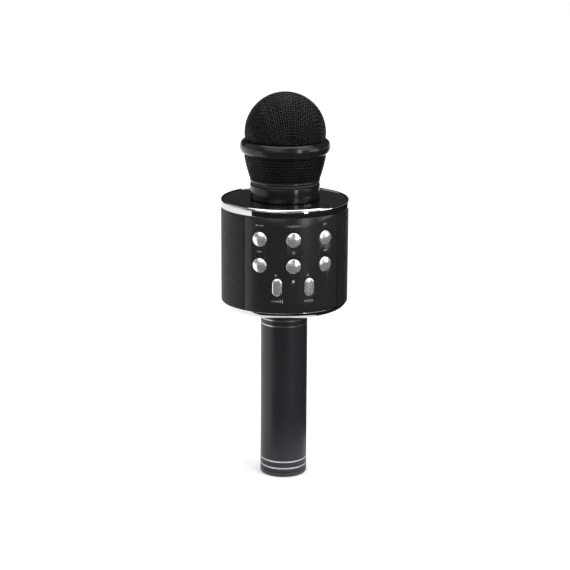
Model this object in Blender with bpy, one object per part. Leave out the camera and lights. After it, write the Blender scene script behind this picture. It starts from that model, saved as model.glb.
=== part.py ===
"""Karaoke microphone with a built-in speaker drum, as separate named parts.

Metres, +Z up.  The handle stands on the plane Z = 0 with its axis on Z, and the
control panel faces -Y.  An angle round the drum is measured from the panel's
middle, positive towards +X.
"""
import math

import bmesh
import bpy
from mathutils import Matrix, Vector

# Driving dimensions -------------------------------------------------------
GAP = 0.0003                     # between faces that touch on the real object

HANDLE_RADIUS = 0.0148
HANDLE_WALL = 0.0012
END_CAP_HEIGHT = 0.0028
HANDLE_TOP = 0.1113
PLUG_TOP = 0.0085                # the end cap's plug, inside the tube
CELL_RADIUS = 0.0091
CELL_BOTTOM = 0.0140
CELL_TOP = 0.0790
SLEEVE_BOTTOM = 0.0100
SLEEVE_TOP = 0.0840
CORE_BORE = 0.0103
CORE_BOTTOM = 0.0880
CORE_FLANGE_RADIUS = 0.0190
CORE_FLANGE_THICKNESS = 0.0018

DRUM_RADIUS = 0.0397
DRUM_WALL_BOTTOM = 0.1153
DRUM_WALL_TOP = 0.1742
PANEL_THICKNESS = 0.0020
MESH_THICKNESS = 0.0008
PANEL_HALF_ANGLE = math.radians(45.9)
SEAM_ANGLE = math.radians(0.5)

BASE_PLATE_BOTTOM = 0.1116
BASE_PLATE_THICKNESS = 0.0023
BASE_PLATE_RADIUS = 0.0360
TRIM_BOTTOM = 0.1110
TRIM_TOP = 0.1794
TRIM_RADIUS = 0.0400
FRAME_BORE = 0.0285
FRAME_RADIUS = 0.0374
FRAME_TOP = 0.1190
TOP_PLATE_RADIUS = 0.0380
TOP_PLATE_HEIGHT = 0.1790
TOP_PLATE_THICKNESS = 0.0026
TOP_PLATE_SKIRT = 0.0014
TOP_PLATE_SKIRT_BOTTOM = 0.1680

BUTTON_RADIUS = 0.0045
BUTTON_CREST = 0.0410            # the controls' radii are all from the drum's axis
BUTTON_RIM = 0.0405
BUTTON_FLANGE_RADIUS = 0.0056
BUTTON_FLANGE = (0.0364, 0.0370)
BUTTON_STEM_RADIUS = 0.0016
BUTTON_TRAVEL = 0.0006
BUTTON_ANGLE = math.radians(30.8)
BUTTON_ROWS = (0.1608, 0.1446)
KEY_WIDTH = 0.0060
KEY_LENGTH = 0.0110
KEY_ANGLE = math.radians(14.8)
KEY_HEIGHT = 0.1315
KEY_PIVOT_RADIUS = 0.03655
KEY_CREST = 0.0409
KEY_FLANGE = (0.0362, 0.0369)
KEY_RIB = 0.0356
KEY_LIP = 0.0007                 # how far the flange reaches past the key's head
KEY_RIB_INSET = 0.0022
KEY_SLOT_PLAY = (0.0007, 0.0010)
KEY_SWITCH_OFFSET = 0.0030
LED_HEIGHT = 0.1352
LED_HOLE_RADIUS = 0.0012
LED_PIPE_RADIUS = 0.0009
PINHOLE_HEIGHT = 0.1293
PINHOLE_RADIUS = 0.0005
PLUNGER_TOP_RADIUS = 0.0352      # where a switch waits for its button
SWITCH_BODY_RADIUS = 0.0344
SWITCH_SIZE = 0.0045
SWITCH_PLUNGER_INSET = 0.0012
KEY_BOARD_RADIUS = 0.0323
KEY_BOARD_THICKNESS = 0.0009
KEY_BOARD_BOTTOM = 0.1210
KEY_BOARD_TOP = 0.1670
KEY_BOARD_HALF_ANGLE = math.radians(42)

MAIN_BOARD_BOTTOM = 0.1285
MAIN_BOARD_RADIUS = 0.0308
BOARD_THICKNESS = 0.0016
PORT_RADIUS = 0.0235
PORT_PLAY = 0.0006               # how much wider a cut-out is than its socket
SOCKET_MOUTH = 0.1117
TONGUE_RECESS = 0.0008
SCREW_CIRCLE = 0.0322
SCREW_HEAD_RADIUS = 0.0026
SCREW_HEAD_BOTTOM = 0.1118
SCREW_HEAD_TOP = 0.1127
SCREW_EDGE = 0.0004
SCREW_SHANK_RADIUS = 0.0013
SCREW_TIP = 0.1185
SCREW_HOLE_RADIUS = 0.0016
COUNTERBORE_RADIUS = 0.0029
COUNTERBORE_TOP = 0.1130
OVERRUN = 0.001                  # how far a cutter runs past what it cuts

CHASSIS_HALF_WIDTH = 0.0240
CHASSIS_FRONT = -0.0140
CHASSIS_BACK = 0.0240
CHASSIS_WALL = 0.0016
CHASSIS_BOTTOM = 0.1320
CHASSIS_TOP = 0.1710
SPEAKER_Y = 0.0050
SPEAKER_Z = 0.1515
SPEAKER_RADIUS = 0.0175
SPEAKER_BORE = 0.0155
CONE_RADIUS = 0.0139
MAGNET_RADIUS = 0.0090

COLLAR_RADIUS = 0.0217
COLLAR_TOP = 0.1882
COLLAR_BORE = 0.0175
COLLAR_SHOULDER = 0.1812
COLLAR_SHOULDER_BORE = 0.0130
COLLAR_BOTTOM = 0.1720
HOLDER_RADIUS = 0.0152
HOLDER_FLANGE = 0.0016
HOLDER_CUP = (0.0096, 0.0108)
HOLDER_FLOOR = 0.2050
HOLDER_TOP = 0.2100
CAPSULE_RADIUS = 0.0093
CAPSULE_TOP = 0.2120
SEAL_THICKNESS = 0.0012
THREAD_BORE = 0.0156
THREAD_RADIUS = 0.0172
THREAD_LENGTH = 0.0062           # four turns of a 1.5 mm pitch, and a little over
GRILLE_WALL = 0.0008
GRILLE_BOTTOM = 0.1900
FOOT_FLANGE = 0.0014
LOWER_GRILLE_BEND = (0.0241, 0.1995)
LOWER_GRILLE_TOP_RADIUS = 0.0255
WAIST_BOTTOM = 0.2076
WAIST_TOP = 0.2156
WAIST_RADIUS = 0.0279
WAIST_BORE = 0.0243
WAIST_BULGE = 0.0022
BALL_RADIUS = 0.0252
BALL_CENTRE = 0.2200
FOAM_THICKNESS = 0.0020
FOAM_FOOT_RADIUS = 0.0207
FOAM_CLEARANCE = 0.0005

DRUM_STEPS = 48                  # facets round the drum's own pieces
HANDLE_STEPS = 32
INNER_STEPS = 24
BUTTON_STEPS = 16
SMALL_STEPS = 12


# Shared making steps ------------------------------------------------------
def clear_scene():
    for item in list(bpy.data.objects):
        bpy.data.objects.remove(item, do_unlink=True)


def principled(name, colour, roughness, metallic=0.0):
    """One plain finish, used by one object."""
    finish = bpy.data.materials.new(name + "_finish")
    finish.use_nodes = True
    shader = finish.node_tree.nodes["Principled BSDF"]
    shader.inputs["Base Color"].default_value = (*colour, 1.0)
    shader.inputs["Roughness"].default_value = roughness
    shader.inputs["Metallic"].default_value = metallic
    return finish


def add_object(name, mesh_data, finish):
    """Turn a bmesh into a named object with its faces pointing out."""
    bmesh.ops.remove_doubles(mesh_data, verts=mesh_data.verts, dist=1e-6)
    bmesh.ops.recalc_face_normals(mesh_data, faces=mesh_data.faces)
    mesh = bpy.data.meshes.new(name)
    mesh_data.to_mesh(mesh)
    mesh_data.free()
    mesh.shade_smooth()
    mesh.set_sharp_from_angle(angle=math.radians(35))
    item = bpy.data.objects.new(name, mesh)
    bpy.context.collection.objects.link(item)
    if finish:
        mesh.materials.append(principled(name, *finish))
    return item


def spin_outline(outline, steps):
    """Turn (radius, height) points about Z.

    An outline that starts and ends on the axis closes there; any other is a ring.
    """
    data = bmesh.new()
    points = [data.verts.new((radius, 0.0, height)) for radius, height in outline]
    for start, end in zip(points, points[1:]):
        data.edges.new((start, end))
    if outline[0][0] > 0.0:
        data.edges.new((points[-1], points[0]))
    bmesh.ops.spin(data, geom=data.verts[:] + data.edges[:], cent=(0, 0, 0),
                   axis=(0, 0, 1), angle=math.tau, steps=steps, use_merge=True)
    return data


def turned(name, outline, finish, steps=HANDLE_STEPS):
    return add_object(name, spin_outline(outline, steps), finish)


def arc(centre, radius, start, end, count):
    """Points (radius, height) on an arc about a centre in the turning plane."""
    angles = (start + (end - start) * k / count for k in range(count + 1))
    return [(centre[0] + radius * math.cos(a), centre[1] + radius * math.sin(a)) for a in angles]


def arc_wall(name, inner, outer, bottom, top, start, end, steps, finish):
    """A wall that follows part of a circle about Z, from one angle to another."""
    data = bmesh.new()
    section = ((inner, bottom), (outer, bottom), (outer, top), (inner, top))
    face = data.faces.new([data.verts.new((radius, 0.0, height)) for radius, height in section])
    bmesh.ops.rotate(data, verts=data.verts, cent=(0, 0, 0),
                     matrix=Matrix.Rotation(start - math.pi / 2, 3, "Z"))
    bmesh.ops.spin(data, geom=list(face.verts) + list(face.edges) + [face], cent=(0, 0, 0),
                   axis=(0, 0, 1), angle=end - start, steps=steps)
    return add_object(name, data, finish)


def prism(outline, bottom, top):
    """A closed prism between two heights over a flat outline of (x, y) points."""
    data = bmesh.new()
    face = data.faces.new([data.verts.new((x, y, bottom)) for x, y in outline])
    raised = bmesh.ops.extrude_face_region(data, geom=[face])["geom"]
    corners = [item for item in raised if isinstance(item, bmesh.types.BMVert)]
    bmesh.ops.translate(data, verts=corners, vec=(0, 0, top - bottom))
    return data


def rectangle(width, depth, x=0.0, y=0.0):
    half_w = width / 2
    half_d = depth / 2
    return [(x - half_w, y - half_d), (x + half_w, y - half_d),
            (x + half_w, y + half_d), (x - half_w, y + half_d)]


def circle(radius, steps, x=0.0, y=0.0):
    angles = (math.tau * k / steps for k in range(steps))
    return [(x + radius * math.cos(a), y + radius * math.sin(a)) for a in angles]


def stadium(width, length, steps=8):
    """A slot outline: straight sides, round ends at +Y and -Y."""
    radius = width / 2
    reach = (length - width) / 2
    upper = [(radius * math.cos(math.pi * k / steps), reach + radius * math.sin(math.pi * k / steps))
             for k in range(steps + 1)]
    return upper + [(-x, -y) for x, y in upper]


def merge_into(target, other, matrix=None):
    """Copy one bmesh into another, and free the one that was copied."""
    if matrix:
        bmesh.ops.transform(other, matrix=matrix, verts=other.verts)
    bmesh.ops.recalc_face_normals(other, faces=other.faces)
    mesh = bpy.data.meshes.new("scratch")
    other.to_mesh(mesh)
    other.free()
    target.from_mesh(mesh)
    bpy.data.meshes.remove(mesh)


def facing_out(angle, height, radius=0.0):
    """Local +Z points out from the axis, local +Y up, at an angle round the drum."""
    place = Vector((radius * math.sin(angle), -radius * math.cos(angle), height))
    return Matrix.Translation(place) @ Matrix.Rotation(angle, 4, "Z") @ Matrix.Rotation(math.pi / 2, 4, "X")


def round_the_axis(angle, radius):
    """Local X runs along the circle and local Y inwards, at an angle round the axis."""
    place = Vector((radius * math.sin(angle), -radius * math.cos(angle), 0.0))
    return Matrix.Translation(place) @ Matrix.Rotation(angle, 4, "Z")


def place_on_drum(item, angle, height, radius):
    item.location = facing_out(angle, height, radius).translation
    item.rotation_euler = (math.pi / 2, 0.0, angle)


def cut(item, cutters, name):
    """Subtract a bmesh of closed cutters from an object."""
    tool = add_object(name, cutters, None)
    tool.hide_render = True
    tool.display_type = "WIRE"
    modifier = item.modifiers.new(name, "BOOLEAN")
    modifier.operation = "DIFFERENCE"
    modifier.solver = "EXACT"
    modifier.object = tool


def lead(name, points, radius, finish):
    """A round wire through a short list of points, smoothed and capped."""
    data = bpy.data.curves.new(name, "CURVE")
    data.dimensions = "3D"
    data.bevel_depth = radius
    data.bevel_resolution = 2
    data.use_fill_caps = True
    line = data.splines.new("POLY")
    line.points.add(len(points) - 1)
    for point, place in zip(line.points, points):
        point.co = (*place, 1.0)
    item = bpy.data.objects.new(name, data)
    bpy.context.collection.objects.link(item)
    data.materials.append(principled(name, *finish))
    return item


# Handle -------------------------------------------------------------------
BORE = HANDLE_RADIUS - HANDLE_WALL


def handle_end_cap():
    """Flat foot with a rounded edge, pressed into the tube."""
    edge = 0.0011
    rim = arc((HANDLE_RADIUS - edge, edge), edge, -math.pi / 2, 0.0, 3)
    outline = [(0.0, 0.0), *rim, (HANDLE_RADIUS, END_CAP_HEIGHT), (BORE - GAP, END_CAP_HEIGHT),
               (BORE - GAP, PLUG_TOP), (0.0, PLUG_TOP)]
    turned("handle_end_cap", outline, ((0.02, 0.02, 0.022), 0.45))


def handle_tube():
    bottom = END_CAP_HEIGHT + GAP
    outline = [(BORE, bottom), (HANDLE_RADIUS, bottom), (HANDLE_RADIUS, HANDLE_TOP), (BORE, HANDLE_TOP)]
    turned("handle_tube", outline, ((0.045, 0.045, 0.048), 0.38, 0.9))


def battery():
    """An 18650 cell in a plastic sleeve, with its protection board on top."""
    edge = 0.0006
    crimp = 0.0008
    cell = [(0.0, CELL_BOTTOM), (CELL_RADIUS - edge, CELL_BOTTOM), (CELL_RADIUS, CELL_BOTTOM + crimp),
            (CELL_RADIUS, CELL_TOP - crimp), (CELL_RADIUS - edge, CELL_TOP), (0.0, CELL_TOP)]
    turned("battery_cell", cell, ((0.02, 0.12, 0.35), 0.4), INNER_STEPS)
    inner = CELL_RADIUS + GAP
    outer = BORE - GAP
    sleeve = [(inner, SLEEVE_BOTTOM), (outer, SLEEVE_BOTTOM), (outer, SLEEVE_TOP), (inner, SLEEVE_TOP)]
    turned("battery_sleeve", sleeve, ((0.6, 0.6, 0.58), 0.6), INNER_STEPS)
    radius = 0.0080
    bottom = CELL_TOP + 0.0004
    thickness = 0.0012
    add_object("battery_board", prism(circle(radius, INNER_STEPS), bottom, bottom + thickness),
               ((0.02, 0.2, 0.08), 0.5))


def handle_core():
    """Plastic spigot inside the tube; its flange sits on the drum's base plate."""
    flange = BASE_PLATE_BOTTOM + BASE_PLATE_THICKNESS + GAP
    top = flange + CORE_FLANGE_THICKNESS
    outline = [(CORE_BORE, CORE_BOTTOM), (BORE - GAP, CORE_BOTTOM), (BORE - GAP, flange),
               (CORE_FLANGE_RADIUS, flange), (CORE_FLANGE_RADIUS, top), (CORE_BORE, top)]
    turned("handle_core", outline, ((0.03, 0.03, 0.03), 0.6), INNER_STEPS)


def leads():
    """The battery's lead to the main board, and the capsule's lead through the neck."""
    slack = 0.0020
    count = 16
    beside = 0.0045
    bottom = 0.0810
    top = MAIN_BOARD_BOTTOM - GAP
    battery_route = [(beside + slack * math.sin(math.pi * k / count), 0.0,
                      bottom + (top - bottom) * k / count) for k in range(count + 1)]
    lead("battery_lead", battery_route, 0.0009, ((0.5, 0.02, 0.02), 0.5))
    bottom = MAIN_BOARD_BOTTOM + BOARD_THICKNESS + GAP
    top = COLLAR_SHOULDER
    capsule_route = [(0.0, slack * math.sin(math.pi * k / count), bottom + (top - bottom) * k / count)
                     for k in range(count + 1)]
    lead("capsule_lead", capsule_route, 0.0008, ((0.1, 0.1, 0.1), 0.5))


# Drum shell ---------------------------------------------------------------
def bottom_trim_ring():
    """Plated ring whose outside curves in underneath, down to the base plate's edge."""
    inner = BASE_PLATE_RADIUS + GAP
    top = DRUM_WALL_BOTTOM - GAP
    steep = math.radians(15)
    shallow = math.radians(70)
    radius = (DRUM_RADIUS - inner) / (math.cos(steep) - math.cos(shallow))
    centre = (DRUM_RADIUS - radius * math.cos(steep), TRIM_BOTTOM + radius * math.sin(shallow))
    outline = [(inner, top), *arc(centre, radius, -shallow, -steep, 4), (DRUM_RADIUS, top)]
    turned("bottom_trim_ring", outline, ((0.8, 0.8, 0.82), 0.12, 1.0), DRUM_STEPS)


def top_trim_ring():
    """Plated ring round the top plate, with a rounded shoulder."""
    inner = TOP_PLATE_RADIUS + GAP
    bottom = DRUM_WALL_TOP + GAP
    shoulder = 0.0012
    outline = [(inner, bottom), (TRIM_RADIUS, bottom),
               *arc((TRIM_RADIUS - shoulder, TRIM_TOP - shoulder), shoulder, 0.0, math.pi / 2, 3),
               (inner, TRIM_TOP)]
    turned("top_trim_ring", outline, ((0.8, 0.8, 0.82), 0.12, 1.0), DRUM_STEPS)


def top_plate():
    """Gloss lid with a skirt that the drum wall closes round."""
    inner = COLLAR_BORE + 0.0007
    under = TOP_PLATE_HEIGHT - TOP_PLATE_THICKNESS
    skirt = DRUM_RADIUS - PANEL_THICKNESS - GAP
    step = DRUM_WALL_TOP + GAP
    low = TOP_PLATE_SKIRT_BOTTOM
    outline = [(inner, under), (skirt - TOP_PLATE_SKIRT, under), (skirt - TOP_PLATE_SKIRT, low), (skirt, low),
               (skirt, step), (TOP_PLATE_RADIUS, step), (TOP_PLATE_RADIUS, TOP_PLATE_HEIGHT),
               (inner, TOP_PLATE_HEIGHT)]
    turned("top_plate", outline, ((0.008, 0.008, 0.009), 0.08), DRUM_STEPS)


def neck_collar():
    """Gloss collar with a threaded bore for the grille, held by a spigot in the lid."""
    seat = TOP_PLATE_HEIGHT + GAP
    chamfer = 0.0006
    spigot = COLLAR_BORE + 0.0004
    outline = [(COLLAR_SHOULDER_BORE, COLLAR_BOTTOM), (spigot, COLLAR_BOTTOM), (spigot, seat),
               (COLLAR_RADIUS, seat), (COLLAR_RADIUS, COLLAR_TOP - chamfer),
               (COLLAR_RADIUS - chamfer, COLLAR_TOP), (COLLAR_BORE, COLLAR_TOP),
               (COLLAR_BORE, COLLAR_SHOULDER), (COLLAR_SHOULDER_BORE, COLLAR_SHOULDER)]
    turned("neck_collar", outline, ((0.01, 0.01, 0.011), 0.12))


def base_plate(ports):
    """Black plate under the drum, with the ports' cut-outs and four screw holes."""
    bottom = BASE_PLATE_BOTTOM
    top = bottom + BASE_PLATE_THICKNESS
    outline = [(BORE, bottom), (BASE_PLATE_RADIUS, bottom), (BASE_PLATE_RADIUS, top), (BORE, top)]
    plate = turned("base_plate", outline, ((0.02, 0.02, 0.02), 0.5), DRUM_STEPS)
    holes = bmesh.new()
    for port in ports:
        merge_into(holes, prism(port["hole"], bottom - OVERRUN, top + OVERRUN),
                   round_the_axis(port["angle"], PORT_RADIUS))
    counterbore = [(0.0, top + OVERRUN), (SCREW_HOLE_RADIUS, top + OVERRUN),
                   (SCREW_HOLE_RADIUS, COUNTERBORE_TOP), (COUNTERBORE_RADIUS, COUNTERBORE_TOP),
                   (COUNTERBORE_RADIUS, bottom - OVERRUN), (0.0, bottom - OVERRUN)]
    for angle in screw_angles():
        merge_into(holes, spin_outline(counterbore, SMALL_STEPS), round_the_axis(angle, SCREW_CIRCLE))
    cut(plate, holes, "base_plate_cutter")


def screw_angles():
    return [math.radians(45 + 90 * k) for k in range(4)]


def frame_ring():
    """Inner ring that the base plate's screws bite into."""
    bottom = BASE_PLATE_BOTTOM + BASE_PLATE_THICKNESS + GAP
    outline = [(FRAME_BORE, bottom), (BASE_PLATE_RADIUS, bottom), (BASE_PLATE_RADIUS, DRUM_WALL_BOTTOM),
               (FRAME_RADIUS, DRUM_WALL_BOTTOM), (FRAME_RADIUS, FRAME_TOP), (FRAME_BORE, FRAME_TOP)]
    ring = turned("lower_frame_ring", outline, ((0.04, 0.04, 0.04), 0.6), DRUM_STEPS)
    holes = bmesh.new()
    for angle in screw_angles():
        hole = prism(circle(SCREW_HOLE_RADIUS, SMALL_STEPS), bottom - OVERRUN, FRAME_TOP + OVERRUN)
        merge_into(holes, hole, round_the_axis(angle, SCREW_CIRCLE))
    cut(ring, holes, "lower_frame_ring_cutter")


def base_screws():
    outline = [(0.0, SCREW_HEAD_BOTTOM), (SCREW_HEAD_RADIUS - SCREW_EDGE, SCREW_HEAD_BOTTOM),
               (SCREW_HEAD_RADIUS, SCREW_HEAD_BOTTOM + SCREW_EDGE), (SCREW_HEAD_RADIUS, SCREW_HEAD_TOP),
               (SCREW_SHANK_RADIUS, SCREW_HEAD_TOP), (SCREW_SHANK_RADIUS, SCREW_TIP), (0.0, SCREW_TIP)]
    for number, angle in enumerate(screw_angles(), 1):
        screw = turned("base_screw_%d" % number, outline, ((0.1, 0.1, 0.1), 0.35, 1.0), SMALL_STEPS)
        screw.location = round_the_axis(angle, SCREW_CIRCLE).translation


def speaker_mesh():
    """Perforated steel wrap: everything round the drum that isn't the control panel."""
    start = PANEL_HALF_ANGLE + SEAM_ANGLE
    arc_wall("speaker_mesh", DRUM_RADIUS - MESH_THICKNESS, DRUM_RADIUS, DRUM_WALL_BOTTOM, DRUM_WALL_TOP,
             start, math.tau - start, 36, ((0.035, 0.036, 0.04), 0.5, 0.3))


# Controls -----------------------------------------------------------------
PANEL_BACK = DRUM_RADIUS - PANEL_THICKNESS
BUTTON_NAMES = (("button_record", "button_play", "button_mode"),
                ("button_previous", "button_power", "button_next"))


def button_places():
    for names, height in zip(BUTTON_NAMES, BUTTON_ROWS):
        for name, side in zip(names, (-1, 0, 1)):
            yield name, side * BUTTON_ANGLE, height


def key_places():
    yield "volume_key", -KEY_ANGLE
    yield "echo_key", KEY_ANGLE


def control_panel():
    """Curved moulded panel, with a hole for each button, key, lamp and pinhole."""
    panel = arc_wall("control_panel", PANEL_BACK, DRUM_RADIUS, DRUM_WALL_BOTTOM, DRUM_WALL_TOP,
                     -PANEL_HALF_ANGLE, PANEL_HALF_ANGLE, 18, ((0.02, 0.02, 0.022), 0.3))
    near = PANEL_BACK - 2 * OVERRUN
    far = DRUM_RADIUS + 2 * OVERRUN
    holes = bmesh.new()
    for _, angle, height in button_places():
        merge_into(holes, prism(circle(BUTTON_RADIUS + GAP, BUTTON_STEPS), near, far),
                   facing_out(angle, height))
    for _, angle in key_places():
        slot = stadium(KEY_WIDTH + KEY_SLOT_PLAY[0], KEY_LENGTH + KEY_SLOT_PLAY[1])
        merge_into(holes, prism(slot, near, far), facing_out(angle, KEY_HEIGHT))
    for height, radius in ((LED_HEIGHT, LED_HOLE_RADIUS), (PINHOLE_HEIGHT, PINHOLE_RADIUS)):
        merge_into(holes, prism(circle(radius, SMALL_STEPS), near, far), facing_out(0.0, height))
    cut(panel, holes, "control_panel_cutter")


def buttons():
    """Plated caps with a flange that keeps them behind the panel and a stem to the switch."""
    rise = BUTTON_CREST - BUTTON_RIM
    dome_angles = (math.radians(degrees) for degrees in (0, 30, 60, 78))
    cap_top = [(BUTTON_RADIUS * math.cos(a), BUTTON_RIM + rise * math.sin(a)) for a in dome_angles]
    stem_end = PLUNGER_TOP_RADIUS + BUTTON_TRAVEL + 0.0001
    under, over = BUTTON_FLANGE
    profile = [(0.0, stem_end), (BUTTON_STEM_RADIUS, stem_end), (BUTTON_STEM_RADIUS, under),
               (BUTTON_FLANGE_RADIUS, under), (BUTTON_FLANGE_RADIUS, over), (BUTTON_RADIUS, over),
               *cap_top, (0.0, BUTTON_CREST)]
    outline = [(radius, reach - DRUM_RADIUS) for radius, reach in profile]
    for name, angle, height in button_places():
        cap = turned(name, outline, ((0.75, 0.75, 0.77), 0.18, 1.0), BUTTON_STEPS)
        place_on_drum(cap, angle, height, DRUM_RADIUS)


def rocker_keys():
    """Plated keys that rock about a level axis behind the panel."""
    under, over = (level - KEY_PIVOT_RADIUS for level in KEY_FLANGE)
    rib = KEY_RIB - KEY_PIVOT_RADIUS
    crest = KEY_CREST - KEY_PIVOT_RADIUS
    for name, angle in key_places():
        data = prism(stadium(KEY_WIDTH + 2 * KEY_LIP, KEY_LENGTH + 2 * KEY_LIP), under, over)
        data.faces.ensure_lookup_table()
        front = max(data.faces, key=lambda face: face.calc_center_median().z)
        back = min(data.faces, key=lambda face: face.calc_center_median().z)
        raise_inset(data, front, KEY_LIP, crest - over)
        raise_inset(data, back, KEY_RIB_INSET, rib - under)
        key = add_object(name, data, ((0.75, 0.75, 0.77), 0.18, 1.0))
        place_on_drum(key, angle, KEY_HEIGHT, KEY_PIVOT_RADIUS)


def raise_inset(data, face, inset, reach):
    """Inset one face, and pull the inset part out along Z."""
    bmesh.ops.inset_region(data, faces=[face], thickness=inset, use_even_offset=True)
    raised = bmesh.ops.extrude_face_region(data, geom=[face])["geom"]
    corners = [item for item in raised if isinstance(item, bmesh.types.BMVert)]
    bmesh.ops.translate(data, verts=corners, vec=(0, 0, reach))
    bmesh.ops.delete(data, geom=[face], context="FACES_ONLY")


def led_light_pipe():
    pipe = prism(circle(LED_PIPE_RADIUS, SMALL_STEPS), KEY_BOARD_RADIUS + GAP, DRUM_RADIUS + 0.0001)
    place_on_drum(add_object("led_light_pipe", pipe, ((0.7, 0.75, 0.8), 0.2)), 0.0, LED_HEIGHT, 0.0)


def key_board():
    """Thin board bent behind the panel, which carries the switches."""
    arc_wall("key_board", KEY_BOARD_RADIUS - KEY_BOARD_THICKNESS, KEY_BOARD_RADIUS, KEY_BOARD_BOTTOM,
             KEY_BOARD_TOP, -KEY_BOARD_HALF_ANGLE, KEY_BOARD_HALF_ANGLE, 14, ((0.02, 0.2, 0.08), 0.5))


def tact_switches():
    """One switch behind each round button, and two behind each key."""
    places = [("switch_" + name.split("_")[1], angle, height) for name, angle, height in button_places()]
    for name, angle in key_places():
        stem = name.split("_")[0]
        places.append(("switch_%s_up" % stem, angle, KEY_HEIGHT + KEY_SWITCH_OFFSET))
        places.append(("switch_%s_down" % stem, angle, KEY_HEIGHT - KEY_SWITCH_OFFSET))
    for name, angle, height in places:
        data = prism(rectangle(SWITCH_SIZE, SWITCH_SIZE), KEY_BOARD_RADIUS + GAP, SWITCH_BODY_RADIUS)
        data.faces.ensure_lookup_table()
        front = max(data.faces, key=lambda face: face.calc_center_median().z)
        raise_inset(data, front, SWITCH_PLUNGER_INSET, PLUNGER_TOP_RADIUS - SWITCH_BODY_RADIUS)
        switch = add_object(name, data, ((0.1, 0.1, 0.1), 0.5))
        place_on_drum(switch, angle, height, 0.0)


# Inside the drum ----------------------------------------------------------
def main_board():
    top = MAIN_BOARD_BOTTOM + BOARD_THICKNESS
    add_object("main_board", prism(circle(MAIN_BOARD_RADIUS, INNER_STEPS), MAIN_BOARD_BOTTOM, top),
               ((0.02, 0.2, 0.08), 0.5))


def port_list():
    """Each socket's outline, its cavity and the tongue in it, seen from below."""
    play = PORT_PLAY
    return [
        {"name": "usb_socket", "angle": math.radians(180), "body": rectangle(0.0136, 0.0062),
         "hole": rectangle(0.0136 + play, 0.0062 + play), "cavity": rectangle(0.0125, 0.0051),
         "tongue": rectangle(0.0112, 0.0019), "depth": 0.0120},
        {"name": "card_slot", "angle": math.radians(135), "body": rectangle(0.0134, 0.0030),
         "hole": rectangle(0.0134 + play, 0.0030 + play), "cavity": rectangle(0.0113, 0.0013),
         "tongue": None, "depth": 0.0140},
        {"name": "charge_port", "angle": math.radians(225), "body": rectangle(0.0078, 0.0031),
         "hole": rectangle(0.0078 + play, 0.0031 + play), "cavity": rectangle(0.0070, 0.0023),
         "tongue": rectangle(0.0052, 0.0007), "depth": 0.0050},
        {"name": "aux_jack", "angle": math.radians(270), "body": circle(0.0032, INNER_STEPS),
         "hole": circle(0.0032 + play / 2, INNER_STEPS), "cavity": circle(0.0018, SMALL_STEPS),
         "tongue": None, "depth": 0.0140},
    ]


def sockets(ports):
    """Sockets that hang from the main board and come out flush in the base plate."""
    for port in ports:
        socket = add_object(port["name"], prism(port["body"], SOCKET_MOUTH, MAIN_BOARD_BOTTOM - GAP),
                            ((0.5, 0.5, 0.5), 0.3, 1.0))
        place = round_the_axis(port["angle"], PORT_RADIUS)
        socket.matrix_world = place
        cavity = prism(port["cavity"], SOCKET_MOUTH - OVERRUN, SOCKET_MOUTH + port["depth"])
        if port["tongue"]:
            cavity = with_tongue(cavity, port["tongue"], SOCKET_MOUTH + TONGUE_RECESS)
        bmesh.ops.transform(cavity, matrix=place, verts=cavity.verts)
        cut(socket, cavity, port["name"] + "_cutter")


def with_tongue(cavity, outline, start):
    """Sink the tongue's shape into the cavity's blind end, so the cut leaves a tongue."""
    cavity.faces.ensure_lookup_table()
    end = max(cavity.faces, key=lambda face: face.calc_center_median().z)
    level = end.calc_center_median().z
    bmesh.ops.inset_region(cavity, faces=[end], thickness=0.0001)
    for corner, (x, y) in zip(sorted_round(end), sorted_points(outline)):
        corner.co.x = x
        corner.co.y = y
    sunk = bmesh.ops.extrude_face_region(cavity, geom=[end])["geom"]
    corners = [item for item in sunk if isinstance(item, bmesh.types.BMVert)]
    bmesh.ops.translate(cavity, verts=corners, vec=(0, 0, start - level))
    bmesh.ops.delete(cavity, geom=[end], context="FACES_ONLY")
    return cavity


def sorted_round(face):
    return sorted(face.verts, key=lambda vert: math.atan2(vert.co.y, vert.co.x))


def sorted_points(outline):
    return sorted(outline, key=lambda point: math.atan2(point[1], point[0]))


def speaker_chassis():
    """Box open above and below, with a bore in each side for a speaker."""
    width = 2 * CHASSIS_HALF_WIDTH
    depth = CHASSIS_BACK - CHASSIS_FRONT
    middle = (CHASSIS_BACK + CHASSIS_FRONT) / 2
    outside = prism(rectangle(width, depth, 0.0, middle), CHASSIS_BOTTOM, CHASSIS_TOP)
    chassis = add_object("speaker_chassis", outside, ((0.05, 0.05, 0.05), 0.6))
    inside = prism(rectangle(width - 2 * CHASSIS_WALL, depth - 2 * CHASSIS_WALL, 0.0, middle),
                   CHASSIS_BOTTOM - OVERRUN, CHASSIS_TOP + OVERRUN)
    cut(chassis, inside, "speaker_chassis_inside")
    reach = CHASSIS_HALF_WIDTH + 6 * OVERRUN
    bore = prism(circle(SPEAKER_BORE, INNER_STEPS), -reach, reach)
    bmesh.ops.transform(bore, matrix=speaker_place(1, 0.0), verts=bore.verts)
    cut(chassis, bore, "speaker_chassis_bore")


def speaker_place(side, reach):
    """Local +Z points out through the chassis side."""
    return (Matrix.Translation((side * reach, SPEAKER_Y, SPEAKER_Z))
            @ Matrix.Rotation(side * math.pi / 2, 4, "Y"))


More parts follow.
